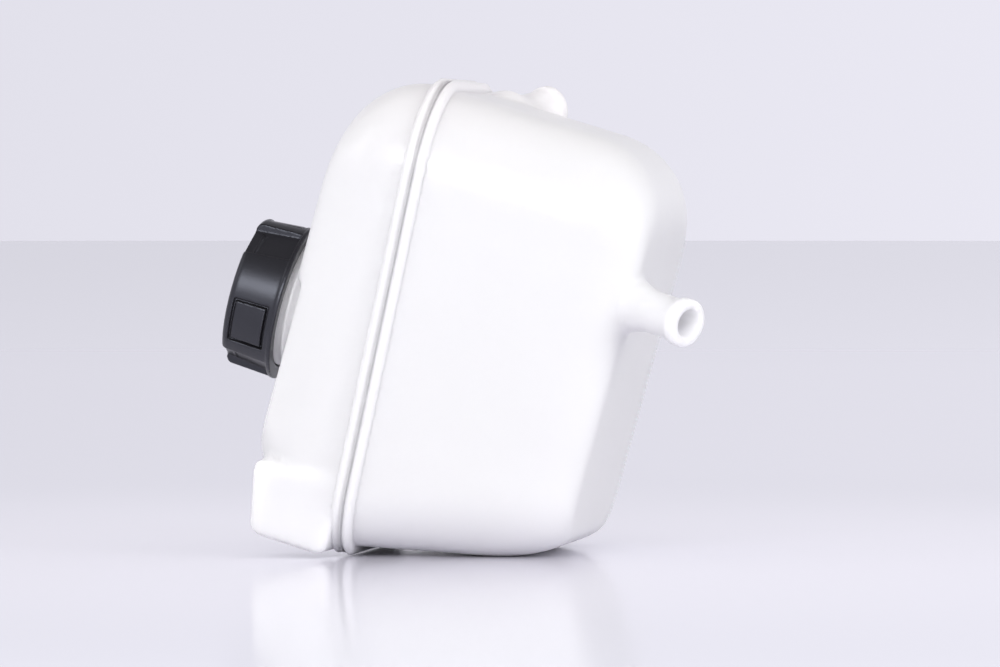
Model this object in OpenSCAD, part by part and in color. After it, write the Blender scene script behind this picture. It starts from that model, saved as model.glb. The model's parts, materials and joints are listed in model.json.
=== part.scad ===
/* [Tank] */
// Distance from the neck axis to the upper end wall, at the seam
end_high = 105; // [95:1:120]
// Distance from the neck axis to the lower end wall, at the seam
end_low = 86; // [82:0.5:94]
// Half of the depth from side wall to side wall, at the seam
half_depth = 68; // [62:1:76]
// Corner radius of the seam outline at the upper end
corner_high = 35; // [30:1:40]
// Corner radius of the seam outline at the lower end
corner_low = 24; // [21:1:28]
// Radius of the same corners at the bowl's heel
corner_heel = 29; // [24:1:32]
// Thickness of the moulded walls
wall = 3; // [2.2:0.1:3.6]
// Angle of the neck above level when the tank lies on its seam's edge and the bowl's heel
lean = 15.5; // [12:0.5:18]
// Angle between the seam's plane and a plane square to the neck
seam_tilt = 3.4; // [0:0.2:5]
// Height above the neck axis at which the tilted seam crosses the level that sizes start from
seam_pivot = 9; // [0:1:60]

/* [Cover] */
// Height of the cover's land above the seam
cover_h = 42.5; // [40:0.5:48]
// Drop from the land to the flat that carries the neck
flat_drop = 4; // [2:0.5:5]
// Distance from the neck axis to the straight step between land and flat
step_x = 13.5; // [8:0.5:20]
// Radius of the flat round the neck, where it bites into the land
flat_r = 39; // [36:0.5:44]
// Height of the rounding between the cover's sides and its top
cover_round_h = 34; // [24:1:36]
// How far that rounding pulls in the upper end
cover_round_high = 40; // [20:1:42]
// How far that rounding pulls in the lower end
cover_round_low = 36; // [24:1:38]
// How soon that rounding pulls in the lower end: 1 is an even round, less is a slope with a round top
cover_slope_low = 0.45; // [0.4:0.05:1]
// How far that rounding pulls in each side wall
cover_round_side = 20; // [14:1:24]

/* [Bowl] */
// Depth of the bowl below the seam
bowl_d = 94; // [80:1:105]
// Height of the rounding between the bowl's sides and its end
bowl_round_h = 34; // [16:1:38]
// How far that rounding pulls in the upper end
bowl_round_high = 32; // [16:1:34]
// How far that rounding pulls in the lower end
bowl_round_low = 13; // [8:1:15]
// How far that rounding pulls in each side wall
bowl_round_side = 15; // [10:1:18]
// Draft of the bowl's upper end wall, in degrees
draft_high = 1.6; // [1:0.1:4]
// Draft of the bowl's side walls, in degrees
draft_side = 2; // [1:0.1:3]

/* [Weld flange] */
// How far the flange stands out from the walls
flange_out = 3.5; // [2.5:0.25:5]
// Thickness of each half's flange
flange_t = 4.5; // [3.5:0.25:6]
// Width of the weld groove that is left between the two flanges
groove_w = 1.2; // [0.6:0.1:2]
// Depth of the weld groove
groove_d = 1.6; // [0.8:0.1:2]

/* [Baffles] */
// Thickness of the baffles
baffle_t = 2.4; // [1.8:0.1:3.2]
// Distance from the neck axis to the upper cross baffle
baffle_high = 52; // [44:1:62]
// Distance from the neck axis to the lower cross baffle
baffle_low = 38; // [32:1:48]
// Radius of the flow holes low in the baffles
flow_r = 7; // [4:0.5:9]
// Radius of the air holes high in the baffles
air_r = 4; // [2.5:0.5:5]

/* [Neck] */
// Radius of the filler bore
bore_r = 22; // [20:0.1:23]
// Thickness of the neck's tube
neck_t = 3; // [2.6:0.1:3.4]
// Height of the neck's mouth above the seam
mouth_z = 67; // [64:0.5:72]
// Height of the collar at the neck's root
collar_h = 2.5; // [1:0.5:4]
// How far the collar stands out from the neck
collar_out = 2; // [1:0.5:4]
// Room that the thread takes between the neck and the cap's skirt
thread_out = 1.4; // [0.8:0.1:1.6]

/* [Hose stubs] */
// Outer radius of the stubs
stub_r = 8.6; // [7.5:0.1:10]
// Radius of the bead at the end of a stub
stub_bead_r = 9.8; // [8.8:0.1:11]
// Length of the bead's cylindrical land
bead_land = 4; // [3:0.5:6]
// Radius of the passage through the stubs
stub_bore_r = 6; // [4:0.1:7]
// Length of the lower stub from its point in the wall
low_stub_l = 34; // [26:1:40]
// Distance of the lower stub above the neck axis
low_stub_x = 41; // [20:1:60]
// Tilt of the lower stub away from the bowl's depth, towards the near side
low_stub_tilt = 33; // [20:1:45]
// Length of the upper stub from its point in the wall
high_stub_l = 27; // [24:1:36]
// Tilt of the upper stub away from the bowl's depth, towards the far side
high_stub_tilt = 62; // [45:1:70]
// Rise of the upper stub away from the tank's end
high_stub_rise = 18; // [0:1:25]

/* [Foot] */
// Height of the foot along the tank's length
foot_l = 31; // [26:1:36]
// Width of the foot along the tank's depth
foot_w = 30; // [24:1:40]
// How far the foot stands below the flange
foot_drop = 1; // [0:0.5:3]
// Thickness of the foot's walls
foot_wall = 3; // [2:0.1:4]
// Height of the foot's outer face above the seam
foot_h = 35.5; // [30:0.5:38]

/* [Cap] */
// Largest radius of the cap
cap_r = 32.5; // [31.5:0.1:34]
// Height of the cap's side and top
cap_h = 21; // [20:0.5:24]
// Thickness of the cap's skirt at its flutes
cap_wall = 1.8; // [1.6:0.1:2.4]
// Thickness of the cap's top
cap_top_t = 3; // [2.5:0.1:3.5]
// Radius of the rounded edge of the cap's top
cap_round = 6; // [4:0.5:7]
// Number of lobes
lobes = 3; // [3:1:5]
// Radius of the scoop that cuts each flute
flute_r = 18; // [12:0.5:22]
// Height of the round lip below the flutes
cap_lip_h = 1.6; // [1:0.1:3]
// Angle that each recessed panel spans
panel_angle = 35; // [20:1:45]
// Depth of the recessed panels
panel_d = 0.8; // [0.4:0.1:1.2]

/* [Valve insert] */
// Thickness of the flat gasket on the neck's mouth
gasket_t = 1.5; // [1:0.1:2.5]
// Thickness of the insert's flange
insert_flange_t = 2.2; // [1.6:0.1:3]
// Length of the insert's barrel inside the neck
barrel_l = 28; // [26:0.5:32]
// Thickness of the barrel's wall between its seals
barrel_t = 2.4; // [2:0.1:2.8]
// Diameter of the round seals' section
seal_d = 2.8; // [2.2:0.1:3.2]
// Radius of the pressure valve's opening
seat_r = 9; // [8:0.1:10]
// Radius of the pressure valve's plate
plate_r = 14.6; // [14:0.1:15]
// Travel of the pressure valve
plate_travel = 3; // [2:0.25:4]
// Wire diameter of the pressure spring
spring_wire = 1.8; // [1.2:0.1:2.2]
// Number of turns of the pressure spring
spring_turns = 5; // [3:1:6]
// Radius of the vacuum valve's stem
stem_r = 1.5; // [1.2:0.1:2]
// Travel of the vacuum valve
stem_travel = 2; // [1:0.25:2.5]
// Wire diameter of the vacuum spring
small_wire = 0.7; // [0.5:0.1:0.9]
// Number of turns of the vacuum spring
small_turns = 4; // [3:1:5]

/* [Clearances] */
// Gap between parts that seat on each other but move apart
seat_gap = 0.1; // [0.05:0.05:0.2]
// Gap between a round seal and the filler bore
seal_gap = 0.05; // [0.02:0.01:0.1]
// Gap round a guided stem
guide_gap = 0.08; // [0.04:0.01:0.1]
// Gap between the cap's skirt and the neck's thread
skirt_gap = 0.6; // [0.4:0.1:0.8]

/* [Hidden] */
// Facets of a full circle, and of a small rounding, and how far a cut runs past a face
fine = 96;
coarse = 32;
past = 1;

// Height of the flat round the neck, and the neck's outer radius
flat_z = cover_h - flat_drop;
neck_r = bore_r + neck_t;

// Turns a point of the neck's frame into the seam's frame
function to_seam(p) = let (x = p[0] - seam_pivot)
    [x * cos(seam_tilt) + p[2] * sin(seam_tilt) + seam_pivot, p[1], p[2] * cos(seam_tilt) - x * sin(seam_tilt)];
// The seam's lower end in the neck's frame
seam_low_x = seam_pivot - (end_low + seam_pivot) * cos(seam_tilt);
seam_low_z = -(end_low + seam_pivot) * sin(seam_tilt);
seam_high_z = (end_high - seam_pivot) * sin(seam_tilt);

// The cover's rounding ends above the seam's upper end, however low the cover is
cover_round = min(cover_round_h, cover_h - seam_high_z - 1);

// The level of the surface that the tank lies on, measured across the leaning seam
floor_level = seam_pivot * cos(lean) - (end_low + flange_out + seam_pivot) * cos(lean - seam_tilt)
    - flange_t * sin(lean - seam_tilt);
// A rounding turns from a wall to a top in equal steps
round_steps = 8;
turn = [for (i = [0:round_steps]) 90 * i / round_steps];
// The bowl's lower wall is drafted so that its heel lies on that surface too. The rounding dips a little
// below the heel, so the heel is raised by that dip.
heel_z = -(bowl_d - bowl_round_h);
function slope_to(x) = (x - seam_low_x) / (seam_low_z - heel_z);
function dip(x) = min([for (a = turn) cos(lean) * (bowl_round_h * sin(a) * slope_to(x)
    + bowl_round_low * (1 - cos(a))) - sin(lean) * bowl_round_h * sin(a)]);
heel_level_x = (floor_level - heel_z * sin(lean)) / cos(lean);
heel_near_x = heel_level_x - dip(heel_level_x) / cos(lean);
heel_x = heel_level_x - dip(heel_near_x) / cos(lean);
draft_low = atan(slope_to(heel_x));

// The stack of the valve insert, upwards from the neck's mouth
flange_z = mouth_z + gasket_t;
insert_top = flange_z + insert_flange_t;
ceiling_z = insert_top + seat_gap;
cap_top = ceiling_z + cap_top_t;
cap_rim = cap_top - cap_h;
skirt_r = neck_r + thread_out + skirt_gap;
insert_flange_r = neck_r + 0.8;

// The barrel of the insert, and what sits in it
barrel_r = bore_r - 0.8;
barrel_bottom = flange_z - barrel_l;
chamber_r = barrel_r - seal_d * 0.8 - barrel_t;
seat_z = barrel_bottom + 4;
seat_lip = 1;
seat_lip_t = 1.6;
seal_t = 2;
plate_z = seat_z + seat_lip + seal_t;
plate_t = 2.5;
hub_h = 1.2;
retainer_t = 3;
retainer_z = insert_top - retainer_t;
spring_r = (chamber_r + plate_r - spring_wire) / 2 - 1.8;
spring_inside = spring_r - spring_wire / 2 - 0.4;

// The vacuum valve hangs in the pressure plate
head_r = seat_r - 2;
head_t = 2;
small_seal_t = 1.5;
head_top = plate_z - small_seal_t;
clip_t = 1.4;
clip_z = plate_z + plate_t + stem_travel + (small_turns + 1) * small_wire + 1;
stem_top = clip_z + clip_t + 1;
small_spring_r = stem_r + guide_gap + small_wire / 2 + 0.5;
clip_r = small_spring_r + small_wire / 2 + 0.4;

// The edge of a stub's bead is broken by this much, and the cap's side leans in by this towards its top
bead_edge = 1;
cap_lean = 1.5;

// The stubs: where their axes cross the wall, and their directions
low_stub_at = [low_stub_x, -(half_depth - 22), -(bowl_d - 2)];
low_stub_axis = [0, -sin(low_stub_tilt), -cos(low_stub_tilt)];
high_stub_at = [end_high - 8.5, half_depth - 28, -(flange_t + 5)];
high_stub_axis = [sin(high_stub_rise), cos(high_stub_rise) * sin(high_stub_tilt),
    -cos(high_stub_rise) * cos(high_stub_tilt)];

// How far a disc reaches in the row's directions, for placing the origin
row_x = [sin(lean), 0, -cos(lean)];
row_y = [0, 1, 0];
function reach(centre, axis, r, way) = centre * way + r * sqrt(max(0, 1 - pow(axis * way, 2)));
function stub_reach(at, axis, length, way) = max(
    reach(at + axis * length, axis, stub_bead_r - bead_edge, way),
    reach(at + axis * (length - bead_edge), axis, stub_bead_r, way));
x_most = stub_reach(low_stub_at, low_stub_axis, low_stub_l, row_x);
x_least = -((cap_top - cap_round) * cos(lean) + (cap_r - cap_lean - cap_round) * sin(lean) + cap_round);
y_most = max(half_depth + flange_out, stub_reach(high_stub_at, high_stub_axis, high_stub_l, row_y));
y_least = -max(half_depth + flange_out, stub_reach(low_stub_at, low_stub_axis, low_stub_l, -row_y));

// Turns the standing tank onto its seam and heel, with the origin under its middle
module lay_down() {
    translate([-(x_least + x_most) / 2, -(y_least + y_most) / 2, -floor_level])
        rotate([0, lean - 90, 0])
            children();
}

// Moves what is drawn in the seam's frame to the neck's frame, and back
module on_seam() {
    translate([seam_pivot, 0, 0])
        rotate([0, -seam_tilt, 0])
            translate([-seam_pivot, 0, 0])
                children();
}
module off_seam() {
    translate([seam_pivot, 0, 0])
        rotate([0, seam_tilt, 0])
            translate([-seam_pivot, 0, 0])
                children();
}

// Stands an upright piece at a point, turned so that up becomes the given direction
module aim(at, way) {
    translate(at)
        rotate([0, acos(way[2]), atan2(way[1], way[0])])
            children();
}

// The seam's outline with two corner radii, grown or shrunk all round
module seam_plan(grow) {
    high = end_high + grow;
    low = end_low + grow;
    side = half_depth + grow;
    r_high = corner_high + grow;
    r_low = corner_low + grow;
    for (s = [-1, 1]) {
        translate([high - r_high, s * (side - r_high)])
            circle(r = r_high, $fn = fine);
        translate([-low + r_low, s * (side - r_low)])
            circle(r = r_low, $fn = fine);
    }
    polygon([
        [-low, -(side - r_low)], [-low, side - r_low], [-low + r_low, side], [high - r_high, side],
        [high, side - r_high], [high, -(side - r_high)], [high - r_high, -side], [-low + r_low, -side]
    ]);
}

// One level ring of a moulded half: a rectangle with two corner radii, at height z
arc_steps = 9;
function corner(cx, cy, r, start, z) =
    [for (i = [0:arc_steps]) let (a = start + 90 * i / arc_steps) [cx + r * cos(a), cy + r * sin(a), z]];
function ring(low, high, side, r_low, r_high, z) = concat(
    corner(high - r_high, side - r_high, r_high, 0, z),
    corner(low + r_low, side - r_low, r_low, 90, z),
    corner(low + r_low, -side + r_low, r_low, 180, z),
    corner(high - r_high, -side + r_high, r_high, 270, z));

// Skins a stack of level rings, from the lowest to the highest
module loft(rings) {
    n = len(rings[0]);
    m = len(rings);
    points = [for (r = rings) each r];
    sides = [for (k = [0:m - 2], i = [0:n - 1]) let (a = k * n + i, b = k * n + (i + 1) % n)
        each [[a, a + n, b], [b, a + n, b + n]]];
    polyhedron(points, concat(
        [[for (i = [0:n - 1]) i]], sides, [[for (i = [n - 1:-1:0]) (m - 1) * n + i]]));
}

// The plan corners tighten as the rounding turns in
function shrink(r, pull) = r * (1 - 0.6 * pull);

// The cover's form in the seam's frame, shrunk by inset for the inside
module cover_form(inset) {
    base = cover_h - cover_round;
    function level(a) = ring(
        -end_low + inset + cover_round_low * pow(1 - cos(a), cover_slope_low),
        end_high - inset - cover_round_high * (1 - cos(a)),
        half_depth - inset - cover_round_side * (1 - cos(a)),
        shrink(corner_low - inset, 1 - cos(a)),
        shrink(corner_high - inset, 1 - cos(a)),
        base + (cover_round - inset) * sin(a));
    seam_ring = ring(-end_low + inset, end_high - inset, half_depth - inset, corner_low - inset,
        corner_high - inset, inset > 0 ? -past : 0);
    loft(concat([seam_ring], [for (a = turn) [for (p = level(a)) to_seam(p)]]));
}

// The bowl's form in the seam's frame, shrunk by inset for the inside
module bowl_form(inset) {
    function wall_x_low(z) = heel_x + inset + (heel_z - z) * tan(draft_low);
    function wall_x_high(z) = end_high - inset + z * tan(draft_high);
    function wall_y(z) = half_depth - inset + z * tan(draft_side);
    function level(a) = let (z = heel_z - (bowl_round_h - inset) * sin(a), pull = 1 - cos(a)) ring(
        wall_x_low(z) + bowl_round_low * pull,
        wall_x_high(z) - bowl_round_high * pull,
        wall_y(z) - bowl_round_side * pull,
        shrink(corner_heel - inset, pull),
        shrink(corner_high - inset, pull),
        z);
    seam_ring = ring(-end_low + inset, end_high - inset, half_depth - inset, corner_low - inset,
        corner_high - inset, inset > 0 ? past : 0);
    loft(concat([for (i = [round_steps:-1:0]) [for (p = level(turn[i])) to_seam(p)]], [seam_ring]));
}

// The flat round the neck: a straight step, and a round bite where the cap needs finger room
module neck_flat(z, grow) {
    translate([-end_low - past, -half_depth - past, z])
        cube([end_low + past + step_x + grow, 2 * (half_depth + past), cover_h]);
    translate([0, 0, z])
        cylinder(r = flat_r + grow, h = cover_h, $fn = fine);
}

// One half's flange, with its share of the weld groove, from the seam upwards
module flange() {
    translate([0, 0, groove_w / 2])
        linear_extrude(flange_t - groove_w / 2)
            seam_plan(flange_out);
    linear_extrude(groove_w)
        seam_plan(flange_out - groove_d);
}

// The baffles' plates between two heights, with their holes
module baffles(low_z, high_z, hole_z, hole_r) {
    difference() {
        union() {
            for (x = [baffle_high, -baffle_low])
                translate([x - baffle_t / 2, -half_depth, low_z])
                    cube([baffle_t, 2 * half_depth, high_z - low_z]);
            translate([baffle_high, -baffle_t / 2, low_z])
                cube([end_high - baffle_high, baffle_t, high_z - low_z]);
            translate([-end_low, -baffle_t / 2, low_z])
                cube([end_low - baffle_low, baffle_t, high_z - low_z]);
        }
        for (side = [-1, 1])
            translate([-end_low, side * half_depth * 0.45, hole_z])
                rotate([0, 90, 0])
                    cylinder(r = hole_r, h = end_low + end_high, $fn = fine);
        for (x = [(baffle_high + end_high) / 2, -(baffle_low + end_low) / 2])
            translate([x, -half_depth / 2, hole_z])
                rotate([-90, 0, 0])
                    cylinder(r = hole_r, h = half_depth, $fn = fine);
    }
}

// The foot: a hollow lug beside the lower end, open at its bottom for a bracket's tongue
foot_y = -half_depth - 0.5;
foot_round = 4;
foot_bottom = seam_pivot - (end_low + flange_out + seam_pivot) * cos(seam_tilt) - foot_drop;
foot_base = seam_low_z + flange_t + foot_round - past;
module foot_outline(inset) {
    r = foot_round - inset / 2;
    top = foot_bottom + foot_l;
    hull() {
        translate([foot_bottom + foot_round, foot_base])
            circle(r = r, $fn = coarse);
        translate([foot_bottom + foot_round + 0.8, foot_h - foot_round - 4.5])
            circle(r = r, $fn = coarse);
        translate([top - foot_round, foot_h - foot_round])
            circle(r = r, $fn = coarse);
        translate([top - foot_round, foot_base])
            circle(r = r, $fn = coarse);
    }
}
module foot_solid() {
    translate([0, foot_y + foot_w, 0])
        rotate([90, 0, 0])
            linear_extrude(foot_w)
                foot_outline(0);
}
module foot_pocket() {
    translate([foot_bottom - past, foot_y + foot_wall, foot_base])
        cube([foot_l - foot_wall + past, foot_w - 2 * foot_wall, foot_h - foot_base - foot_wall - 5]);
}

// A hose stub from inside the wall outwards: root, tube and end bead
stub_root = 10;
module stub(length) {
    root_r = stub_r + 4;
    root_h = length * 0.45;
    bead_top = length - bead_edge;
    bead_foot = bead_top - bead_land;
    rotate_extrude($fn = fine)
        polygon([
            [0, -stub_root], [root_r, -stub_root], [root_r, 0], [stub_r, root_h],
            [stub_r, bead_foot - 1], [stub_bead_r, bead_foot],
            [stub_bead_r, bead_top], [stub_bead_r - bead_edge, length], [0, length]
        ]);
}
module stub_bore(length) {
    run = stub_root + 4;
    translate([0, 0, -run])
        cylinder(r = stub_bore_r, h = length + run + past, $fn = fine);
}

module cover_shell() {
    color("ghostwhite")
        difference() {
            union() {
                on_seam() {
                    difference() {
                        cover_form(0);
                        off_seam()
                            neck_flat(flat_z, 0);
                    }
                    flange();
                }
                translate([0, 0, flat_z - wall])
                    cylinder(r = neck_r, h = mouth_z - flat_z + wall, $fn = fine);
                translate([0, 0, flat_z - wall])
                    cylinder(r = neck_r + collar_out, h = wall + collar_h, $fn = fine);
                foot_solid();
            }
            foot_pocket();
            difference() {
                on_seam()
                    cover_form(wall);
                neck_flat(flat_z - wall, wall);
                baffles(seam_low_z - 3 * past, cover_h, cover_h - air_r - 9, air_r);
                foot_solid();
            }
            translate([0, 0, flat_z - 2 * wall])
                cylinder(r = bore_r, h = mouth_z, $fn = fine);
        }
}

module bowl_shell() {
    color("ghostwhite")
        difference() {
            union() {
                on_seam() {
                    bowl_form(0);
                    mirror([0, 0, 1])
                        flange();
                }
                aim(low_stub_at, low_stub_axis)
                    stub(low_stub_l);
                difference() {
                    aim(high_stub_at, high_stub_axis)
                        stub(high_stub_l);
                    on_seam()
                        linear_extrude(cover_h)
                            square(4 * end_high, center = true);
                }
            }
            difference() {
                on_seam()
                    bowl_form(wall);
                baffles(-bowl_d, cover_h, -bowl_d + wall + flow_r + 3, flow_r);
            }
            aim(low_stub_at, low_stub_axis)
                stub_bore(low_stub_l);
            aim(high_stub_at, high_stub_axis)
                stub_bore(high_stub_l);
        }
}

// The lip's step under the flutes, and where a panel and its margin lie
lip_step = 0.4;
panel_low = 6;
panel_margin = 1;
module cap_solid() {
    top_r = cap_r - cap_lean;
    rotate_extrude($fn = fine) {
        polygon([
            [0, cap_rim], [cap_r, cap_rim], [cap_r, cap_rim + cap_lip_h],
            [cap_r - lip_step, cap_rim + cap_lip_h],
            [top_r, cap_top - cap_round], [top_r - cap_round, cap_top], [0, cap_top]
        ]);
        translate([top_r - cap_round, cap_top - cap_round])
            circle(r = cap_round, $fn = fine);
    }
}
module cap_flutes() {
    floor_r = skirt_r + cap_wall;
    for (i = [0:lobes - 1])
        rotate([0, 0, 360 * i / lobes])
            translate([floor_r + flute_r, 0, cap_rim + cap_lip_h + lip_step])
                cylinder(r = flute_r, h = cap_h, $fn = fine);
}
module cap_panels() {
    for (i = [0:lobes - 1])
        rotate([0, 0, 360 * (i + 0.5) / lobes - panel_angle / 2])
            rotate_extrude(angle = panel_angle, $fn = fine)
                translate([cap_r - cap_lean - panel_d, cap_rim + panel_low])
                    square([cap_lean + panel_d + past, cap_h - cap_round - panel_low - panel_margin]);
}
// Three lugs inside the skirt reach under the insert's flange, so that the insert comes off with the cap
lug_grip = 0.5;
lug_t = 1;
lug_angle = 30;
module cap_lugs() {
    inner = insert_flange_r - lug_grip;
    for (i = [0:2])
        rotate([0, 0, 120 * i - lug_angle / 2])
            rotate_extrude(angle = lug_angle, $fn = fine)
                translate([inner, flange_z - seat_gap - lug_t])
                    square([skirt_r + past - inner, lug_t]);
}
module cap_shell() {
    color("#25262b") {
        difference() {
            cap_solid();
            cap_flutes();
            cap_panels();
            translate([0, 0, cap_rim - past])
                cylinder(r = skirt_r, h = ceiling_z - cap_rim + past, $fn = fine);
        }
        cap_lugs();
    }
}

// The insert is a cup that hangs in the neck by its flange
vent_r = 1.5;
module valve_housing() {
    color("#2f3136")
        difference() {
            union() {
                translate([0, 0, flange_z])
                    cylinder(r = insert_flange_r, h = insert_flange_t, $fn = fine);
                translate([0, 0, barrel_bottom])
                    cylinder(r = barrel_r, h = barrel_l, $fn = fine);
            }
            for (z = seal_heights)
                seal_ring(z, bore_r - seal_gap - seal_d / 2, seal_d / 2 + seat_gap / 2);
            translate([0, 0, seat_z])
                cylinder(r = chamber_r, h = insert_top, $fn = fine);
            translate([0, 0, barrel_bottom - past])
                cylinder(r = seat_r, h = barrel_l, $fn = fine);
            for (i = [0:3])
                rotate([0, 0, 90 * i + 45])
                    translate([0, 0, seat_z + 7])
                        rotate([0, 90, 0])
                            cylinder(r = vent_r, h = bore_r, $fn = fine);
        }
    color("#2f3136")
        translate([0, 0, seat_z - past])
            difference() {
                cylinder(r = seat_r + seat_lip_t, h = seat_lip + past, $fn = fine);
                translate([0, 0, -past])
                    cylinder(r = seat_r, h = seat_lip + 3 * past, $fn = fine);
            }
}

seal_heights = [barrel_bottom + 7, barrel_bottom + 18];
module seal_ring(z, r, section_r) {
    translate([0, 0, z])
        rotate_extrude($fn = fine)
            translate([r, 0])
                circle(r = section_r, $fn = coarse);
}
module barrel_seal(z) {
    color("#1b1b1e")
        seal_ring(z, bore_r - seal_gap - seal_d / 2, seal_d / 2);
}

module neck_gasket() {
    color("#1b1b1e")
        translate([0, 0, mouth_z + seat_gap / 2])
            difference() {
                cylinder(r = neck_r, h = gasket_t - seat_gap / 2, $fn = fine);
                translate([0, 0, -past])
                    cylinder(r = bore_r - 0.4, h = gasket_t + 2 * past, $fn = fine);
            }
}

// The retainer closes the insert, backs the pressure spring and stops the pressure plate's hub
module spring_retainer() {
    edge = chamber_r - guide_gap;
    stop_z = plate_z + plate_t + hub_h + plate_travel + seat_gap;
    color("#3a3c42")
        difference() {
            union() {
                translate([0, 0, retainer_z])
                    cylinder(r = edge, h = retainer_t, $fn = fine);
                translate([0, 0, stop_z])
                    cylinder(r = spring_inside, h = retainer_z - stop_z + past, $fn = fine);
            }
            translate([0, 0, stop_z - past])
                cylinder(r = clip_r + 0.8, h = retainer_z - stop_z + past, $fn = fine);
            for (i = [0:5])
                rotate([0, 0, 60 * i])
                    translate([edge - vent_r - past, 0, retainer_z - past])
                        cylinder(r = vent_r, h = retainer_t + 2 * past, $fn = fine);
        }
}

// A round-wire spring from low to high, with its end coils closed
coil_steps = 20;
wire_sides = 8;
function coil_share(t, turns) = let (closed = 0.9 / turns)
    t < closed ? 0.06 * t / closed
        : t > 1 - closed ? 1 - 0.06 * (1 - t) / closed
        : 0.06 + 0.88 * (t - closed) / (1 - 2 * closed);
module spring(low, high, r, wire, turns) {
    n = turns * coil_steps;
    span = high - low - wire;
    wire_r = wire / 2;
    points = [for (i = [0:n], k = [0:wire_sides - 1])
        let (a = 360 * i / coil_steps, b = 360 * k / wire_sides, d = r + wire_r * cos(b))
            [d * cos(a), d * sin(a), low + wire_r + span * coil_share(i / n, turns) + wire_r * sin(b)]];
    skin = [for (i = [0:n - 1], k = [0:wire_sides - 1])
        let (a = i * wire_sides + k, b = i * wire_sides + (k + 1) % wire_sides)
            each [[a, b, a + wire_sides], [b, b + wire_sides, a + wire_sides]]];
    polyhedron(points, concat([[for (k = [wire_sides - 1:-1:0]) k]], skin,
        [[for (k = [0:wire_sides - 1]) n * wire_sides + k]]));
}
module pressure_spring() {
    color("silver")
        spring(plate_z + plate_t + seat_gap / 2, retainer_z - seat_gap / 2, spring_r, spring_wire, spring_turns);
}
module vacuum_spring() {
    color("silver")
        spring(plate_z + plate_t + seat_gap / 2, clip_z - seat_gap / 2, small_spring_r, small_wire, small_turns);
}

module pressure_plate() {
    color("#b9b6a8")
        difference() {
            union() {
                translate([0, 0, plate_z])
                    cylinder(r = plate_r, h = plate_t, $fn = fine);
                translate([0, 0, plate_z])
                    cylinder(r = spring_inside, h = plate_t + hub_h, $fn = fine);
            }
            translate([0, 0, plate_z + plate_t])
                cylinder(r = clip_r + 0.3, h = hub_h + past, $fn = fine);
            translate([0, 0, plate_z - past])
                cylinder(r = stem_r + guide_gap, h = plate_t + 2 * past, $fn = fine);
            for (i = [0:3])
                rotate([0, 0, 90 * i])
                    translate([stem_r + 2.4, 0, plate_z - past])
                        cylinder(r = 0.8, h = plate_t + 2 * past, $fn = fine);
        }
}
module plate_seal() {
    color("#1b1b1e")
        translate([0, 0, plate_z - seal_t + seat_gap / 2])
            difference() {
                cylinder(r = plate_r - 0.6, h = seal_t - seat_gap / 2, $fn = fine);
                translate([0, 0, -past])
                    cylinder(r = head_r + 0.8, h = seal_t + 2 * past, $fn = fine);
            }
}
module vacuum_valve() {
    color("#b9b6a8") {
        translate([0, 0, head_top - head_t])
            cylinder(r = head_r, h = head_t, $fn = fine);
        translate([0, 0, head_top - head_t])
            cylinder(r = stem_r, h = stem_top - head_top + head_t, $fn = fine);
    }
}
module vacuum_seal() {
    color("#1b1b1e")
        translate([0, 0, head_top])
            difference() {
                cylinder(r = head_r - 0.4, h = small_seal_t - seat_gap / 2, $fn = fine);
                translate([0, 0, -past])
                    cylinder(r = stem_r + 3.6, h = small_seal_t + 2 * past, $fn = fine);
            }
}
module vacuum_clip() {
    color("#b9b6a8")
        translate([0, 0, clip_z])
            difference() {
                cylinder(r = clip_r, h = clip_t, $fn = fine);
                translate([0, 0, -past])
                    cylinder(r = stem_r, h = clip_t + 2 * past, $fn = fine);
            }
}

lay_down() cover_shell();
lay_down() bowl_shell();
lay_down() cap_shell();
lay_down() valve_housing();
lay_down() neck_gasket();
lay_down() barrel_seal(seal_heights[1]);  // upper_barrel_seal
lay_down() barrel_seal(seal_heights[0]);  // lower_barrel_seal
lay_down() spring_retainer();
lay_down() pressure_spring();
lay_down() pressure_plate();
lay_down() plate_seal();
lay_down() vacuum_valve();
lay_down() vacuum_seal();
lay_down() vacuum_spring();
lay_down() vacuum_clip();
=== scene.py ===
import json
from math import cos, pi, radians, sin, tan

import bmesh
import bpy
from mathutils import Matrix, Vector


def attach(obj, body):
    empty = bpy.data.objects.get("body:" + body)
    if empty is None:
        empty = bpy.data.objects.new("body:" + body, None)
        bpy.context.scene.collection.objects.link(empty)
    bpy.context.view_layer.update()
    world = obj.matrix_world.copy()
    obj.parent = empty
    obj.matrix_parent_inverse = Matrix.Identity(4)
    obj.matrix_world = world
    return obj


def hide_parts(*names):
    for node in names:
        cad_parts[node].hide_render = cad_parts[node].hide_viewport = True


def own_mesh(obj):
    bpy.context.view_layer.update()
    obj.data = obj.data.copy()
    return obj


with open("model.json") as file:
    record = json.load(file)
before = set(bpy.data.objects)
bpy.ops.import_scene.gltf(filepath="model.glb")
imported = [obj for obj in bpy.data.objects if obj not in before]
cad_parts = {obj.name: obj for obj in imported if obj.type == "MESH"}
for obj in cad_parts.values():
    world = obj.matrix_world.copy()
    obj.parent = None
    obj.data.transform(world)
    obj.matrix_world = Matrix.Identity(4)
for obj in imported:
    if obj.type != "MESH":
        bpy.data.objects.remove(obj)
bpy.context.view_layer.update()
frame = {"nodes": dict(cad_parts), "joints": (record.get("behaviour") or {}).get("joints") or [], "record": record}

# The view. The tank lies on its seam's edge and its heel, cap to the left, and a long lens looks at
# it almost level. The middle of the cap's rim fixes the camera to the object.
cap_turn = next(j for j in frame["joints"] if j["name"] == "cap_turn")
rim_middle = Vector(cap_turn["pos_m"])
neck_way = Vector(cap_turn["axis"]).normalized()
azimuth, elevation = radians(10.5), radians(1.5)
photo_width, photo_height = 1000, 667
focal_px = 6000
px_per_metre = 2400
rim_px = Vector((290, 302))
to_right = Vector((cos(azimuth), sin(azimuth), 0))
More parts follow.
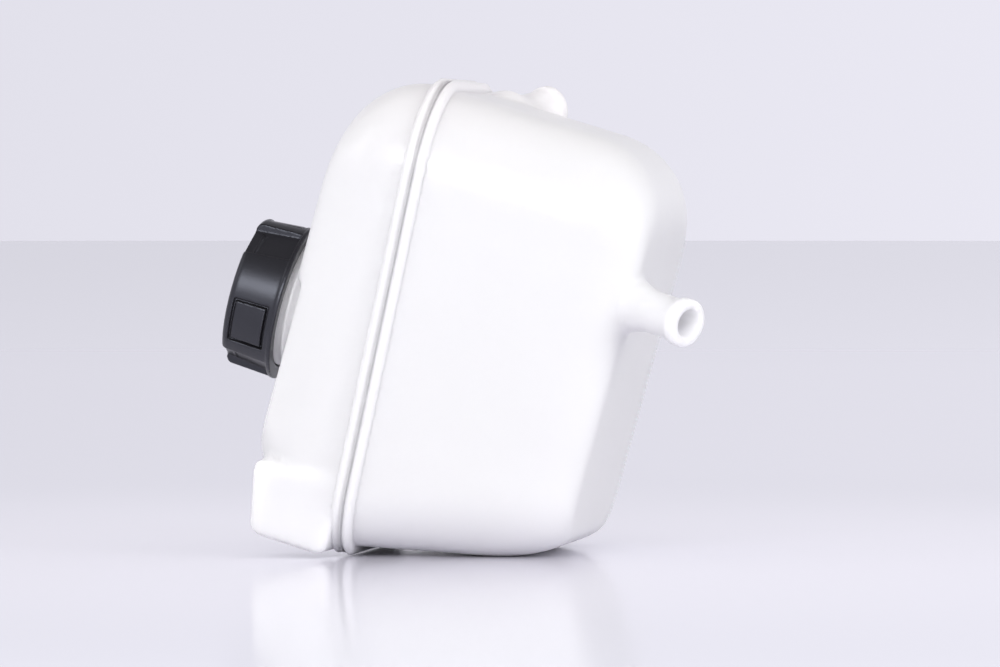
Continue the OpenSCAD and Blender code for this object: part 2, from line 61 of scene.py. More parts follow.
to_top = Vector((-sin(azimuth) * sin(elevation), cos(azimuth) * sin(elevation), cos(elevation)))
to_lens = to_right.cross(to_top)
lens = bpy.data.cameras.new("long_lens")
lens.sensor_width = 36
lens.lens = lens.sensor_width * focal_px / photo_width
lens.clip_start = 0.1
lens.clip_end = 60
camera = bpy.data.objects.new("camera", lens)
bpy.context.scene.collection.objects.link(camera)
stand = rim_middle + to_lens * focal_px / px_per_metre
stand -= to_right * (rim_px.x - photo_width / 2) / px_per_metre
stand += to_top * (rim_px.y - photo_height / 2) / px_per_metre
camera.matrix_world = Matrix.Translation(stand) @ Matrix((to_right, to_top, to_lens)).transposed().to_4x4()
bpy.context.scene.camera = camera


# The stage: a pale glossy table before a plain pale wall, with soft light from all round that is
# stronger from the sides than from overhead, and soft lamps at the left, in front and at the right.
def nodes_of(material):
    material.use_nodes = True
    tree = material.node_tree
    tree.nodes.clear()
    return tree.nodes, tree.links


def node(nodes, kind, **settings):
    made = nodes.new(kind)
    for name, value in settings.items():
        if name in made.inputs:
            made.inputs[name].default_value = value
        else:
            setattr(made, name, value)
    return made


scene = bpy.context.scene
scene.view_settings.view_transform = "Standard"
wall_colour = (0.77, 0.76, 0.84, 1)
light_colour = (1, 0.99, 1, 1)
level_overhead, level_low = 0.74, 1.2
world = bpy.data.worlds.new("soft_room")
scene.world = world
world.use_nodes = True
room, room_links = world.node_tree.nodes, world.node_tree.links
room.clear()
ray = node(room, "ShaderNodeLightPath")
seen = node(room, "ShaderNodeMath", operation="MAXIMUM")
seen_or_through = node(room, "ShaderNodeMath", operation="MAXIMUM")
way = node(room, "ShaderNodeTexCoord")
way_up = node(room, "ShaderNodeSeparateXYZ")
light_level = node(room, "ShaderNodeMapRange")
light_level.inputs["To Min"].default_value = level_low
light_level.inputs["To Max"].default_value = level_overhead
room_light = node(room, "ShaderNodeBackground", Color=light_colour)
wall_overhead = node(room, "ShaderNodeMapRange", interpolation_type="SMOOTHSTEP")
wall_overhead.inputs["From Min"].default_value, wall_overhead.inputs["From Max"].default_value = 0.15, 0.75
wall_overhead.inputs["To Min"].default_value, wall_overhead.inputs["To Max"].default_value = 1, 0.25
way_right = node(room, "ShaderNodeVectorMath", operation="DOT_PRODUCT")
way_right.inputs[1].default_value = to_right
wall_right = node(room, "ShaderNodeMapRange")
wall_right.inputs["From Min"].default_value, wall_right.inputs["From Max"].default_value = -0.09, 0.09
wall_right.inputs["To Min"].default_value, wall_right.inputs["To Max"].default_value = 0.99, 1.07
wall_level = node(room, "ShaderNodeMath", operation="MULTIPLY")
wall = node(room, "ShaderNodeBackground", Color=wall_colour)
either = node(room, "ShaderNodeMixShader")
room_out = node(room, "ShaderNodeOutputWorld")
room_links.new(way.outputs["Generated"], way_up.inputs[0])
room_links.new(way_up.outputs["Z"], light_level.inputs["Value"])
room_links.new(light_level.outputs[0], room_light.inputs["Strength"])
room_links.new(way_up.outputs["Z"], wall_overhead.inputs["Value"])
room_links.new(way.outputs["Generated"], way_right.inputs[0])
room_links.new(way_right.outputs["Value"], wall_right.inputs["Value"])
room_links.new(wall_overhead.outputs[0], wall_level.inputs[0])
room_links.new(wall_right.outputs[0], wall_level.inputs[1])
room_links.new(wall_level.outputs[0], wall.inputs["Strength"])
room_links.new(ray.outputs["Is Camera Ray"], seen.inputs[0])
room_links.new(ray.outputs["Is Glossy Ray"], seen.inputs[1])
room_links.new(seen.outputs[0], seen_or_through.inputs[0])
room_links.new(ray.outputs["Is Transmission Ray"], seen_or_through.inputs[1])
room_links.new(seen_or_through.outputs[0], either.inputs["Fac"])
room_links.new(room_light.outputs[0], either.inputs[1])
room_links.new(wall.outputs[0], either.inputs[2])
room_links.new(either.outputs[0], room_out.inputs["Surface"])

table_reach = 12
table_mesh = bmesh.new()
bmesh.ops.create_circle(table_mesh, cap_ends=True, segments=96, radius=table_reach)
table_data = bpy.data.meshes.new("table")
table_mesh.to_mesh(table_data)
table = bpy.data.objects.new("table", table_data)
scene.collection.objects.link(table)
table_top = bpy.data.materials.new("table_top")
nodes, links = nodes_of(table_top)
place = node(nodes, "ShaderNodeTexCoord")
# Painted pool of light: the table's colour is paler near the tank and darker farther out.
from_tank = node(nodes, "ShaderNodeVectorMath", operation="LENGTH")
fade = node(nodes, "ShaderNodeMapRange", interpolation_type="SMOOTHSTEP")
fade.inputs["From Min"].default_value, fade.inputs["From Max"].default_value = 0.12, 0.6
painted_light_pool = node(nodes, "ShaderNodeMix", data_type="RGBA")
painted_light_pool.inputs["A"].default_value = (0.76, 0.745, 0.82, 1)
painted_light_pool.inputs["B"].default_value = (0.6, 0.6, 0.665, 1)
gloss = node(nodes, "ShaderNodeBsdfPrincipled", Roughness=0.12)
gloss.inputs["Specular IOR Level"].default_value = 0.2
surface = node(nodes, "ShaderNodeOutputMaterial")
links.new(place.outputs["Object"], from_tank.inputs[0])
links.new(from_tank.outputs["Value"], fade.inputs["Value"])
links.new(fade.outputs[0], painted_light_pool.inputs["Factor"])
links.new(painted_light_pool.outputs["Result"], gloss.inputs["Base Color"])
links.new(gloss.outputs[0], surface.inputs["Surface"])
table_data.materials.append(table_top)

lit_middle = Vector((0, 0, 0.1))
for name, stand, width, depth, watts in (("left_box", (-1.1, -0.5, 0.9), 0.7, 0.7, 1.5),
                                         ("front_box", (-0.1, -1.4, 0.55), 0.9, 0.4, 9.5),
                                         ("right_box", (1.1, -0.5, 0.3), 0.3, 0.6, 4)):
    lamp_data = bpy.data.lights.new(name, "AREA")
    lamp_data.shape, lamp_data.size, lamp_data.size_y = "RECTANGLE", width, depth
    lamp_data.energy = watts
    lamp = bpy.data.objects.new(name, lamp_data)
    lamp.location = stand
    lamp.rotation_euler = (lit_middle - lamp.location).to_track_quat("-Z", "Y").to_euler()
    scene.collection.objects.link(lamp)

# The two moulded halves. Each is blown up from one smooth form with two corner sizes, drafted walls
# and a wide rounding, hollow with a 3 mm wall, in milky translucent plastic. Sizes are in millimetres
# from the neck's axis and from the level that the seam crosses 9 mm above it.
rim_height = 52.8
upwards = Vector((neck_way.z, 0, -neck_way.x))
lay_down = Matrix.Translation(rim_middle) @ Matrix((upwards, (0, 1, 0), neck_way)).transposed().to_4x4()
lay_down = lay_down @ Matrix.Scale(0.001, 4) @ Matrix.Translation((0, 0, -rim_height))
seam_pivot, seam_tilt = 9, radians(3.4)
on_seam = Matrix.Translation((seam_pivot, 0, 0)) @ Matrix.Rotation(-seam_tilt, 4, "Y")
on_seam = on_seam @ Matrix.Translation((-seam_pivot, 0, 0))
end_high, end_low, half_depth = 105, 86, 68
corner_high, corner_low, corner_heel = 35, 24, 29
wall = 3
corner_steps = 12
rounding_steps = 14


def outline(shape, low, high, side, low_round, high_round, z, placed=Matrix()):
    known = set(shape.edges)
    corners = [shape.verts.new(p) for p in (
        (low, -side, z), (high, -side, z), (high, side, z), (low, side, z))]
    shape.faces.new(corners)
    for pair, rounding in (((0, 3), low_round), ((1, 2), high_round)):
        bmesh.ops.bevel(shape, geom=[corners[i] for i in pair], offset=rounding, affect="VERTICES",
                        segments=corner_steps, profile=0.5, material=-1)
    loop = [edge for edge in shape.edges if edge not in known]
    inside = list({face for edge in loop for face in edge.link_faces})
    bmesh.ops.delete(shape, geom=inside, context="FACES_ONLY")
    bmesh.ops.transform(shape, matrix=placed, verts=list({vert for edge in loop for vert in edge.verts}))
    return loop


def skinned(shape, loops):
    for loop, following in zip(loops, loops[1:]):
        bmesh.ops.bridge_loops(shape, edges=loop + following)
    for loop in (loops[0], loops[-1]):
        bmesh.ops.contextual_create(shape, geom=loop)
    return shape


def placed_piece(name, shape, place=lay_down):
    bmesh.ops.remove_doubles(shape, verts=shape.verts, dist=1e-4)
    bmesh.ops.recalc_face_normals(shape, faces=shape.faces)
    bmesh.ops.transform(shape, matrix=place, verts=shape.verts)
    mesh = bpy.data.meshes.new(name)
    shape.to_mesh(mesh)
    shape.free()
    mesh.shade_smooth()
    piece = bpy.data.objects.new(name, mesh)
    scene.collection.objects.link(piece)
    return piece


def settle(piece):
    bpy.context.view_layer.update()
    seen_piece = piece.evaluated_get(bpy.context.evaluated_depsgraph_get())
    settled = bpy.data.meshes.new_from_object(seen_piece)
    piece.modifiers.clear()
    piece.data = settled


def shape_with(piece, tool, operation):
    change = piece.modifiers.new("shape", "BOOLEAN")
    change.object, change.operation, change.solver = tool, operation, "MANIFOLD"
    settle(piece)
    bpy.data.objects.remove(tool)


def soften(piece, voxel, rounds):
    skin = piece.modifiers.new("skin", "REMESH")
    skin.mode, skin.voxel_size, skin.use_smooth_shade = "VOXEL", voxel, True
    soft = piece.modifiers.new("soft", "SMOOTH")
    soft.factor, soft.iterations = 0.5, rounds
    settle(piece)


def shrunk(size, pull):
    return size * (1 - 0.6 * pull)


def block(low_corner, high_corner):
    shape = bmesh.new()
    bmesh.ops.create_cube(shape, size=1)
    reach = Vector(high_corner) - Vector(low_corner)
    bmesh.ops.scale(shape, vec=reach, verts=shape.verts)
    bmesh.ops.translate(shape, vec=Vector(low_corner) + reach / 2, verts=shape.verts)
    return shape


def spun(profile, steps=96):
    shape = bmesh.new()
    verts = [shape.verts.new((r, 0, z)) for r, z in profile]
    edges = [shape.edges.new(pair) for pair in zip(verts, verts[1:])]
    bmesh.ops.spin(shape, geom=verts + edges, cent=(0, 0, 0), axis=(0, 0, 1), dvec=(0, 0, 0), angle=2 * pi,
                   steps=steps, use_merge=True)
    return shape


def spanning(at, way):
    return lay_down @ Matrix.Translation(at) @ Vector(way).to_track_quat("Z", "Y").to_matrix().to_4x4()


# The cover: a low dome with a land, and a flat 4 mm lower that carries the neck. The flat ends in a
# straight step and in a round bite that leaves room for fingers round the cap.
cover_top = 42.5
cover_rounding, cover_pull_high, cover_pull_low, cover_pull_side = 34, 40, 36, 20
low_slope = 0.45
past_seam = 6
flat_level, step_x, bite_r = 38.5, 13.5, 39


def cover_form(inset):
    shape = bmesh.new()
    loops = [outline(shape, -end_low + inset, end_high - inset, half_depth - inset, corner_low - inset,
                     corner_high - inset, z, on_seam) for z in (-past_seam, 0)]
    for step in range(rounding_steps + 1):
        turn = pi / 2 * step / rounding_steps
        pull = 1 - cos(turn)
        loops.append(outline(shape, -end_low + inset + cover_pull_low * pull ** low_slope,
                             end_high - inset - cover_pull_high * pull,
                             half_depth - inset - cover_pull_side * pull,
                             shrunk(corner_low - inset, pull), shrunk(corner_high - inset, pull),
                             cover_top - cover_rounding + (cover_rounding - inset) * sin(turn)))
    return skinned(shape, loops)


def flat_tool(level, grow):
    step = placed_piece("step", block((-end_low - 20, -half_depth - 20, level),
                                      (step_x + grow, half_depth + 20, 90)))
    bite = placed_piece("bite", spun([(0, level), (bite_r + grow, level), (bite_r + grow, 90), (0, 90)]))
    shape_with(step, bite, "UNION")
    return step


# Cross walls inside both halves stop the coolant from surging. They are 2.4 mm thick, with flow holes
# low down and air holes high up, and they are welded along the seam with the halves.
baffle_t, baffle_high, baffle_low = 2.4, 52, 38


def baffles(bottom, top, hole_z, hole_r):
    plates = placed_piece("baffles", block((baffle_high - baffle_t / 2, -half_depth - 9, bottom),
                                           (baffle_high + baffle_t / 2, half_depth + 9, top)))
    for low_corner, high_corner in (
            ((-baffle_low - baffle_t / 2, -half_depth - 9), (-baffle_low + baffle_t / 2, half_depth + 9)),
            ((baffle_high, -baffle_t / 2), (end_high + 9, baffle_t / 2)),
            ((-end_low - 9, -baffle_t / 2), (-baffle_low, baffle_t / 2))):
        plate = placed_piece("plate", block((*low_corner, bottom), (*high_corner, top)))
        shape_with(plates, plate, "UNION")
    for side in (-1, 1):
        along = spun([(0, 0), (hole_r, 0), (hole_r, end_low + end_high), (0, end_low + end_high)], 32)
        shape_with(plates, placed_piece("hole", along, spanning((-end_low, side * half_depth * 0.45, hole_z),
                                                                (1, 0, 0))), "DIFFERENCE")
    for x in ((baffle_high + end_high) / 2, -(baffle_low + end_low) / 2):
        across = spun([(0, 0), (hole_r, 0), (hole_r, half_depth), (0, half_depth)], 32)
        shape_with(plates, placed_piece("hole", across, spanning((x, -half_depth / 2, hole_z), (0, 1, 0))),
                   "DIFFERENCE")
    return plates


# The weld flange runs all round both halves, 3.5 mm out and 4.5 mm thick on each, with a groove left
# between the two by the hot plate weld.
flange_out, flange_t, groove_half, groove_depth, flange_edge = 3.5, 4.5, 0.3, 0.45, 1.7


def flange(name, away):
    shape = bmesh.new()
    steps = ((flange_out - groove_depth, 0), (flange_out - groove_depth, groove_half),
             (flange_out - flange_edge, groove_half), (flange_out, groove_half + flange_edge),
             (flange_out, flange_t - flange_edge), (flange_out - flange_edge, flange_t))
    loops = [outline(shape, -end_low - grow, end_high + grow, half_depth + grow, corner_low + grow,
                     corner_high + grow, away * z, on_seam) for grow, z in steps]
    return placed_piece(name, skinned(shape, loops))


# The foot is a hollow lug at the lower end on the near side, open below for a bracket's tongue.
foot_length, foot_width, foot_wall, foot_top, foot_round = 31, 30, 3, 35.5, 4
foot_near = -half_depth - 0.5
foot_bottom = (on_seam @ Vector((-end_low - flange_out, 0, 0))).x - 1
foot_base = (on_seam @ Vector((-end_low, 0, 0))).z + flange_t + foot_round - 1


def foot_lug():
    shape = bmesh.new()
    corners = [shape.verts.new((x, foot_near, z)) for x, z in (
        (foot_bottom, foot_base - foot_round), (foot_bottom + 1, foot_top - 5.2),
        (foot_bottom + foot_length, foot_top + 0.9), (foot_bottom + foot_length, foot_base - foot_round))]
    shape.faces.new(corners)
    bmesh.ops.bevel(shape, geom=corners, offset=foot_round, affect="VERTICES", segments=8, profile=0.5,
                    material=-1)
    grown = bmesh.ops.extrude_face_region(shape, geom=list(shape.faces))
    bmesh.ops.translate(shape, vec=(0, foot_width, 0),
                        verts=[part for part in grown["geom"] if isinstance(part, bmesh.types.BMVert)])
    return placed_piece("foot_lug", shape)


# The neck: a tube with a collar at its root and a coarse right-hand thread for the cap.
neck_r, bore_r, mouth_level = 25, 22, 67
collar_out, collar_h = 2, 2.5
thread_pitch, thread_out, thread_from, thread_turns = 4, 1.4, 44.5, 4.8
thread_steps = 72


def thread(name, inner_r, outer_r, root_half, crest_half, start, turns):
    shape = bmesh.new()
    corners = [shape.verts.new((r, 0, start + z)) for r, z in (
        (inner_r, -root_half), (outer_r, -crest_half), (outer_r, crest_half), (inner_r, root_half))]
    face = shape.faces.new(corners)
    bmesh.ops.spin(shape, geom=[face, *face.edges, *corners], cent=(0, 0, 0), axis=(0, 0, 1),
                   dvec=(0, 0, thread_pitch / thread_steps), angle=2 * pi * turns,
                   steps=round(thread_steps * turns), use_merge=False)
    bmesh.ops.holes_fill(shape, edges=[edge for edge in shape.edges if edge.is_boundary], sides=0)
    return placed_piece(name, shape)


# The hose stubs grow out of the bowl with a wide root and end in a bead that holds the hose.
stub_r, bead_r, bead_land, bead_edge, passage_r, root_r = 8.6, 9.8, 4, 1, 6, 12.6
low_stub_length, high_stub_length = 34, 27
low_stub_at = Vector((41, -46, -92))
low_stub_way = Vector((0, -sin(radians(33)), -cos(radians(33))))
high_stub_at = Vector((end_high - 8.5, half_depth - 28, -9.5))
high_stub_rise, high_stub_turn = radians(18), radians(62)
high_stub_way = Vector((sin(high_stub_rise), cos(high_stub_rise) * sin(high_stub_turn),
                        -cos(high_stub_rise) * cos(high_stub_turn)))
stubs = ((low_stub_at, low_stub_way, low_stub_length), (high_stub_at, high_stub_way, high_stub_length))


def stub_root(length):
    rise = length * 0.45
    flare = [(stub_r + 0.15 + (root_r - stub_r) * (1 - step / 8) ** 2, rise * step / 8) for step in range(9)]
    return spun([(0, -10), (root_r + 0.15, -10), *flare, (0, rise)], 64)


def stub_tube(length):
    bead_top = length - bead_edge
    bead_foot = bead_top - bead_land
    return spun([(0, -4), (stub_r, -4), (stub_r, bead_foot - 1), (bead_r - 0.3, bead_foot - 0.1),
                 (bead_r, bead_foot + 0.3), (bead_r, bead_top - 0.3), (bead_r - 0.2, bead_top + 0.3),
                 (bead_r - bead_edge, length), (0, length)], 64)


def passage(length):
    return spun([(0, -14), (passage_r, -14), (passage_r, length - 0.4), (passage_r + 0.4, length),
                 (passage_r + 0.4, length + 1), (0, length + 1)], 64)


# The cover is put together: dome, flat, foot and collar are one soft moulded skin, and the flange,
# the neck and its thread stand on it with crisper edges.
skin_voxel, skin_rounds = 0.0014, 10
cover = placed_piece("cover_moulding", cover_form(0))
shape_with(cover, flat_tool(flat_level, 0), "DIFFERENCE")
shape_with(cover, foot_lug(), "UNION")
collar = spun([(0, flat_level - 3), (neck_r + collar_out, flat_level - 3),
               (neck_r + collar_out, flat_level + collar_h), (0, flat_level + collar_h)])
shape_with(cover, placed_piece("collar", collar), "UNION")
soften(cover, skin_voxel, skin_rounds)
below_seam = placed_piece("below_seam", block((-200, -200, -60), (200, 200, 0)), lay_down @ on_seam)
shape_with(cover, below_seam, "DIFFERENCE")
shape_with(cover, flange("cover_flange", 1), "UNION")
neck = spun([(0, flat_level - 2), (neck_r, flat_level - 2), (neck_r, mouth_level - 1),
             (neck_r - 0.3, mouth_level - 0.3), (neck_r - 1, mouth_level), (0, mouth_level)])
shape_with(cover, placed_piece("neck", neck), "UNION")
neck_thread = thread("neck_thread", neck_r - 0.6, neck_r + thread_out, 1.3, 0.5, thread_from, thread_turns)
shape_with(cover, neck_thread, "UNION")
cover_room = placed_piece("cover_room", cover_form(wall))
shape_with(cover_room, flat_tool(flat_level - wall, wall), "DIFFERENCE")
shape_with(cover_room, foot_lug(), "DIFFERENCE")
shape_with(cover_room, baffles(-12, cover_top, cover_top - 13, 4), "DIFFERENCE")
shape_with(cover, cover_room, "DIFFERENCE")
pocket = block((foot_bottom - 1, foot_near + foot_wall, foot_base),
               (foot_bottom + foot_length - foot_wall, foot_near + foot_width - foot_wall,
                foot_top - foot_wall - 5))
shape_with(cover, placed_piece("pocket", pocket), "DIFFERENCE")
bore = spun([(0, flat_level - 6), (bore_r, flat_level - 6), (bore_r, mouth_level + 1), (0, mouth_level + 1)])
shape_with(cover, placed_piece("bore", bore), "DIFFERENCE")
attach(cover, "tank")
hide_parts("cover_shell")

# The bowl: a deep tub whose lower wall is drafted so that its heel stands on the table.
bowl_depth, bowl_rounding, bowl_pull_high, bowl_pull_low, bowl_pull_side = 94, 34, 32, 13, 15
draft_high, draft_side = radians(1.6), radians(2)
heel_level, heel_x = bowl_rounding - bowl_depth, -75.0
seam_low = on_seam @ Vector((-end_low, 0, 0))
heel_slope = (heel_x - seam_low.x) / (seam_low.z - heel_level)


def bowl_form(inset):
    shape = bmesh.new()
    loops = [outline(shape, -end_low + inset, end_high - inset, half_depth - inset, corner_low - inset,
                     corner_high - inset, z, on_seam) for z in (past_seam, 0)]
    for step in range(rounding_steps + 1):
        turn = pi / 2 * step / rounding_steps
        pull = 1 - cos(turn)
        z = heel_level - (bowl_rounding - inset) * sin(turn)
        loops.append(outline(shape, heel_x + inset + (heel_level - z) * heel_slope + bowl_pull_low * pull,
                             end_high - inset + z * tan(draft_high) - bowl_pull_high * pull,
                             half_depth - inset + z * tan(draft_side) - bowl_pull_side * pull,
                             shrunk(corner_heel - inset, pull), shrunk(corner_high - inset, pull), z))
    return skinned(shape, loops)


bowl = placed_piece("bowl_moulding", bowl_form(0))
for at, way, length in stubs:
    shape_with(bowl, placed_piece("stub_root", stub_root(length), spanning(at, way)), "UNION")
soften(bowl, skin_voxel, skin_rounds)
above_seam = placed_piece("above_seam", block((-200, -200, 0), (200, 200, 60)), lay_down @ on_seam)
shape_with(bowl, above_seam, "DIFFERENCE")
shape_with(bowl, flange("bowl_flange", -1), "UNION")
for at, way, length in stubs:
    shape_with(bowl, placed_piece("stub_tube", stub_tube(length), spanning(at, way)), "UNION")
bowl_room = placed_piece("bowl_room", bowl_form(wall))
shape_with(bowl_room, baffles(-bowl_depth, cover_top, -bowl_depth + wall + 10, 7), "DIFFERENCE")
shape_with(bowl, bowl_room, "DIFFERENCE")
for at, way, length in stubs:
    shape_with(bowl, placed_piece("passage", passage(length), spanning(at, way)), "DIFFERENCE")
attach(bowl, "tank")
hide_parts("bowl_shell")

# Milky polypropylene: light soaks into it and comes out again, it has a faint pink painted reflection
# over the top, and it has a faint cloudiness and a satin skin.
tank_plastic = bpy.data.materials.new("milky_polypropylene")
nodes, links = nodes_of(tank_plastic)
place = node(nodes, "ShaderNodeTexCoord")
clouds = node(nodes, "ShaderNodeTexNoise", Scale=28, Detail=3, Roughness=0.55)
cloud_tint = node(nodes, "ShaderNodeValToRGB")
cloud_tint.color_ramp.elements[0].color = (0.93, 0.925, 0.965, 1)
cloud_tint.color_ramp.elements[1].color = (0.97, 0.965, 0.99, 1)
height = node(nodes, "ShaderNodeSeparateXYZ")
# Painted reflection: a faint pink tint is mixed into the colour over the top of the tank.
painted_top_reflection_mask = node(nodes, "ShaderNodeMapRange")
painted_top_reflection_mask.inputs["From Min"].default_value, painted_top_reflection_mask.inputs["From Max"].default_value = 0.15, 0.195
painted_top_reflection = node(nodes, "ShaderNodeMix", data_type="RGBA")
painted_top_reflection.inputs["B"].default_value = (0.95, 0.9, 0.93, 1)
milk = node(nodes, "ShaderNodeBsdfPrincipled", Roughness=0.3, IOR=1.49)
milk.inputs["Subsurface Weight"].default_value = 0.75
milk.inputs["Subsurface Radius"].default_value = (1, 1, 1)
milk.inputs["Subsurface Scale"].default_value = 0.009
milk.inputs["Transmission Weight"].default_value = 0.14
grain = node(nodes, "ShaderNodeTexNoise", Scale=900, Detail=2)
skin_bump = node(nodes, "ShaderNodeBump", Strength=0.05, Distance=0.0002)
surface = node(nodes, "ShaderNodeOutputMaterial")
links.new(place.outputs["Object"], clouds.inputs["Vector"])
links.new(place.outputs["Object"], grain.inputs["Vector"])
links.new(place.outputs["Object"], height.inputs[0])
links.new(height.outputs["Z"], painted_top_reflection_mask.inputs["Value"])
links.new(clouds.outputs["Fac"], cloud_tint.inputs[0])
links.new(painted_top_reflection_mask.outputs[0], painted_top_reflection.inputs["Factor"])
links.new(cloud_tint.outputs[0], painted_top_reflection.inputs["A"])
links.new(painted_top_reflection.outputs["Result"], milk.inputs["Base Color"])
links.new(grain.outputs["Fac"], skin_bump.inputs["Height"])
links.new(skin_bump.outputs[0], milk.inputs["Normal"])
links.new(milk.outputs[0], surface.inputs["Surface"])
for moulding in (cover, bowl):
    moulding.data.materials.clear()
    moulding.data.materials.append(tank_plastic)

# The cap: black plastic with three deep scoops for the fingers, a grooved pad between each pair, a lip
# at the rim and its own thread inside. Three lugs in it hold the insert's flange.
cap_r, cap_h, cap_lean, cap_edge = 32.5, 22, 1.5, 2.6
cap_rim = rim_height - 2.5
cap_top = cap_rim + cap_h
skirt_r, throat_r, throat_level, ceiling = 27, 25.6, 64.8, 70.8
lip_h, lip_step, skirt_wall = 1.6, 0.4, 2.2
scoop_floor, scoop_mouth, scoop_lean = 7.3, 18.2, 2.6
panel_from, panel_to, panel_angle, panel_depth = 3.6, 19.4, radians(37), 1.4
pad_gap, pad_sunk = 1.3, 0.35
cap_thread_from, cap_thread_turns = 54.5, 2.2
cap_phase, panel_middle = radians(-39), radians(47)


def sector(name, profile, angle, middle):
    shape = bmesh.new()
    corners = [shape.verts.new((r, 0, cap_rim + z)) for r, z in profile]
    face = shape.faces.new(corners)
    bmesh.ops.spin(shape, geom=[face, *face.edges, *corners], cent=(0, 0, 0), axis=(0, 0, 1), dvec=(0, 0, 0),
                   angle=angle, steps=12, use_merge=False)
    return placed_piece(name, shape, lay_down @ middle @ Matrix.Rotation(-angle / 2, 4, "Z"))


side = bmesh.new()
corners = [side.verts.new((r, 0, z)) for r, z in (
    (0, cap_rim), (cap_r, cap_rim), (cap_r, cap_rim + lip_h), (cap_r - lip_step, cap_rim + lip_h),
    (cap_r - cap_lean, cap_top), (cap_r - 9, cap_top), (cap_r - 9.6, cap_top - 0.6), (0, cap_top - 0.6))]
edges = [side.edges.new(pair) for pair in zip(corners, corners[1:])]
bmesh.ops.bevel(side, geom=[corners[4]], offset=cap_edge, affect="VERTICES", segments=8, profile=0.5,
                material=-1)
bmesh.ops.spin(side, geom=[*side.verts, *side.edges], cent=(0, 0, 0), axis=(0, 0, 1), dvec=(0, 0, 0),
               angle=2 * pi, steps=144, use_merge=True)
cap = placed_piece("cap_moulding", side)
for turn in range(3):
    around = Matrix.Rotation(2 * pi * turn / 3 + cap_phase, 4, "Z")
    scoop = bmesh.new()
    for level, deep in ((cap_rim + lip_h + lip_step, 0), (cap_top + 1, scoop_lean)):
        for across in (-1, 1):
            scoop.verts.new((skirt_r + skirt_wall - deep, across * scoop_floor, level))
            scoop.verts.new((cap_r + 12, across * scoop_mouth, level))
    bmesh.ops.convex_hull(scoop, input=scoop.verts)
    shape_with(cap, placed_piece("scoop", scoop, lay_down @ around), "DIFFERENCE")
    middle = around @ Matrix.Rotation(panel_middle, 4, "Z")
    groove = sector("groove", ((cap_r - cap_lean - panel_depth, panel_from + 0.4),
                               (cap_r + 5, panel_from - 0.4),
                               (cap_r + 5, panel_to + 0.4), (cap_r - cap_lean - panel_depth, panel_to - 0.4)),
                    panel_angle, middle)
    pad = sector("pad", ((skirt_r, panel_from + pad_gap), (cap_r - lip_step - pad_sunk, panel_from + pad_gap),
                         (cap_r - cap_lean - pad_sunk, panel_to - pad_gap), (skirt_r, panel_to - pad_gap)),
                 panel_angle - 2 * pad_gap / cap_r, middle)
    shape_with(groove, pad, "DIFFERENCE")
    shape_with(cap, groove, "DIFFERENCE")
soften(cap, 0.0004, 4)
slim = cap.modifiers.new("slim", "DECIMATE")
slim.ratio = 0.45
settle(cap)
well = spun([(0, cap_rim - 1), (skirt_r + 0.4, cap_rim - 1), (skirt_r + 0.4, cap_rim),
             (skirt_r, cap_rim + 0.4),
             (skirt_r, throat_level), (throat_r, throat_level + 1), (throat_r, ceiling), (0, ceiling)])
shape_with(cap, placed_piece("well", well), "DIFFERENCE")
cap_thread = thread("cap_thread", skirt_r - 1.3, skirt_r + 0.6, 0.5, 1.3, cap_thread_from, cap_thread_turns)
shape_with(cap, cap_thread, "UNION")
lug_r, lug_level = 25.3, 68.4
for turn in range(3):
    lug = bmesh.new()
    corners = [lug.verts.new((r, 0, lug_level + z)) for r, z in (
        (lug_r, -0.9), (lug_r, 0), (skirt_r + 1, 0), (skirt_r + 1, -1))]
    face = lug.faces.new(corners)
    bmesh.ops.spin(lug, geom=[face, *face.edges, *corners], cent=(0, 0, 0), axis=(0, 0, 1), dvec=(0, 0, 0),
                   angle=radians(30), steps=10, use_merge=False)
    around = Matrix.Rotation(2 * pi * turn / 3 + cap_phase - radians(15), 4, "Z")
    shape_with(cap, placed_piece("lug", lug, lay_down @ around), "UNION")
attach(cap, "cap")
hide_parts("cap_shell")

cap_plastic = bpy.data.materials.new("black_polyamide")
nodes, links = nodes_of(cap_plastic)
place = node(nodes, "ShaderNodeTexCoord")
wear = node(nodes, "ShaderNodeTexNoise", Scale=60, Detail=4)
wear_tint = node(nodes, "ShaderNodeValToRGB")
wear_tint.color_ramp.elements[0].color = (0.009, 0.0085, 0.0095, 1)
wear_tint.color_ramp.elements[1].color = (0.015, 0.014, 0.016, 1)
sheen = node(nodes, "ShaderNodeMapRange")
sheen.inputs["To Min"].default_value, sheen.inputs["To Max"].default_value = 0.27, 0.36
black = node(nodes, "ShaderNodeBsdfPrincipled", IOR=1.5)
black.inputs["Specular IOR Level"].default_value = 0.7
black.inputs["Specular Tint"].default_value = (0.82, 0.86, 1, 1)
grain = node(nodes, "ShaderNodeTexNoise", Scale=1600, Detail=2)
skin_bump = node(nodes, "ShaderNodeBump", Strength=0.12, Distance=0.0002)
surface = node(nodes, "ShaderNodeOutputMaterial")
links.new(place.outputs["Object"], wear.inputs["Vector"])
links.new(place.outputs["Object"], grain.inputs["Vector"])
links.new(wear.outputs["Fac"], wear_tint.inputs[0])
links.new(wear.outputs["Fac"], sheen.inputs["Value"])
links.new(wear_tint.outputs[0], black.inputs["Base Color"])
links.new(sheen.outputs[0], black.inputs["Roughness"])
links.new(grain.outputs["Fac"], skin_bump.inputs["Height"])
links.new(skin_bump.outputs[0], black.inputs["Normal"])
links.new(black.outputs[0], surface.inputs["Surface"])
cap.data.materials.clear()
cap.data.materials.append(cap_plastic)


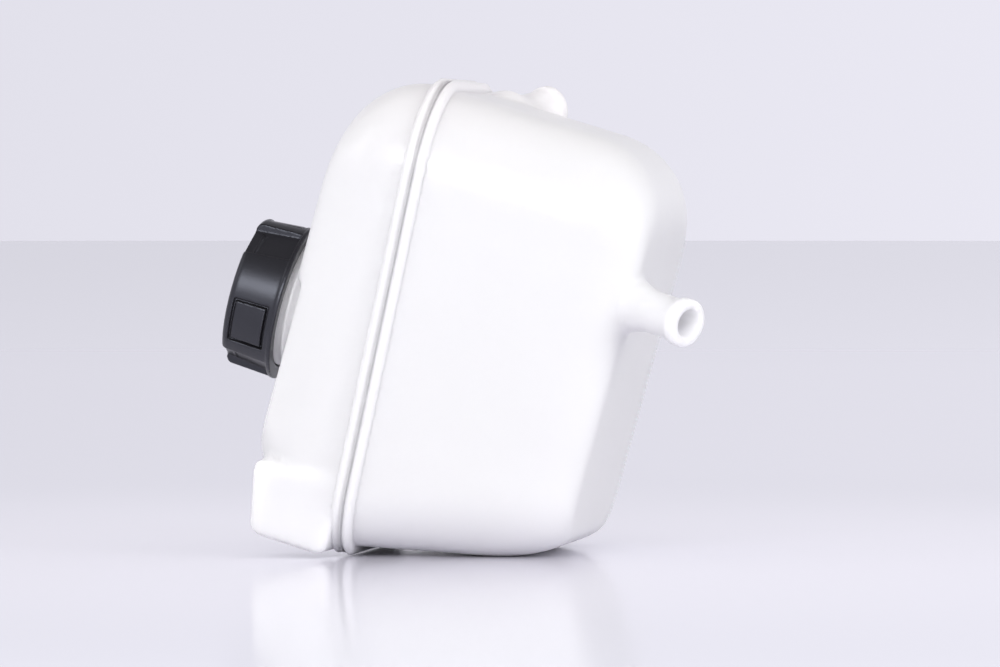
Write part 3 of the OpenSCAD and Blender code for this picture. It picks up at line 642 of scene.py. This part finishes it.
# The valve insert inside the cap: a dark moulded barrel and retainer, natural moulded valves, black
# rubber seals and plain spring wire, each with a fine grain of its own.
def grained(name, dark, light, roughness, metal, grain_scale, grain_depth):
    finish = bpy.data.materials.new(name)
    nodes, links = nodes_of(finish)
    place = node(nodes, "ShaderNodeTexCoord")
    patches = node(nodes, "ShaderNodeTexNoise", Scale=90, Detail=3)
    tint = node(nodes, "ShaderNodeValToRGB")
    tint.color_ramp.elements[0].color = (*dark, 1)
    tint.color_ramp.elements[1].color = (*light, 1)
    shade = node(nodes, "ShaderNodeBsdfPrincipled", Roughness=roughness, Metallic=metal)
    grain = node(nodes, "ShaderNodeTexNoise", Scale=grain_scale, Detail=2)
    bump = node(nodes, "ShaderNodeBump", Strength=grain_depth, Distance=0.0002)
    surface = node(nodes, "ShaderNodeOutputMaterial")
    links.new(place.outputs["Object"], patches.inputs["Vector"])
    links.new(place.outputs["Object"], grain.inputs["Vector"])
    links.new(patches.outputs["Fac"], tint.inputs[0])
    links.new(tint.outputs[0], shade.inputs["Base Color"])
    links.new(grain.outputs["Fac"], bump.inputs["Height"])
    links.new(bump.outputs[0], shade.inputs["Normal"])
    links.new(shade.outputs[0], surface.inputs["Surface"])
    return finish


finishes = {
    "insert_plastic": grained("dark_moulding", (0.05, 0.05, 0.06), (0.075, 0.075, 0.085), 0.45, 0, 1500,
                              0.15),
    "valve_plastic": grained("natural_moulding", (0.6, 0.58, 0.5), (0.66, 0.64, 0.56), 0.4, 0, 1500, 0.1),
    "seal_rubber": grained("black_rubber", (0.016, 0.016, 0.018), (0.026, 0.026, 0.028), 0.6, 0, 2200, 0.2),
    "spring_steel": grained("spring_wire", (0.5, 0.5, 0.52), (0.62, 0.62, 0.64), 0.28, 1, 3000, 0.1),
}
for part in frame["record"]["subparts"]:
    if part["material_slot"] in finishes:
        carried = frame["nodes"][part["node"]]
        carried.data.materials.clear()
        carried.data.materials.append(finishes[part["material_slot"]])

# The two springs are wound steel wire. Each is remade from its CAD mesh with its points merged and
# smooth shading, and is carried by the insert or by the pressure valve.
pressure_travel, vacuum_travel = 0.003, 0.002
for spring, opening, travel, body in (("pressure_spring", "pressure_lift", pressure_travel, "valve_insert"),
                                      ("vacuum_spring", "vacuum_drop", vacuum_travel, "pressure_valve")):
    wire = bmesh.new()
    wire.from_mesh(frame["nodes"][spring].data)
    bmesh.ops.remove_doubles(wire, verts=wire.verts, dist=1e-7)
    wound_data = bpy.data.meshes.new(spring + "_wire")
    wire.to_mesh(wound_data)
    wire.free()
    wound_data.shade_smooth()
    wound_data.materials.append(finishes["spring_steel"])
    wound = bpy.data.objects.new(spring + "_wire", wound_data)
    scene.collection.objects.link(wound)
    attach(wound, body)
    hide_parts(spring)
    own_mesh(wound)
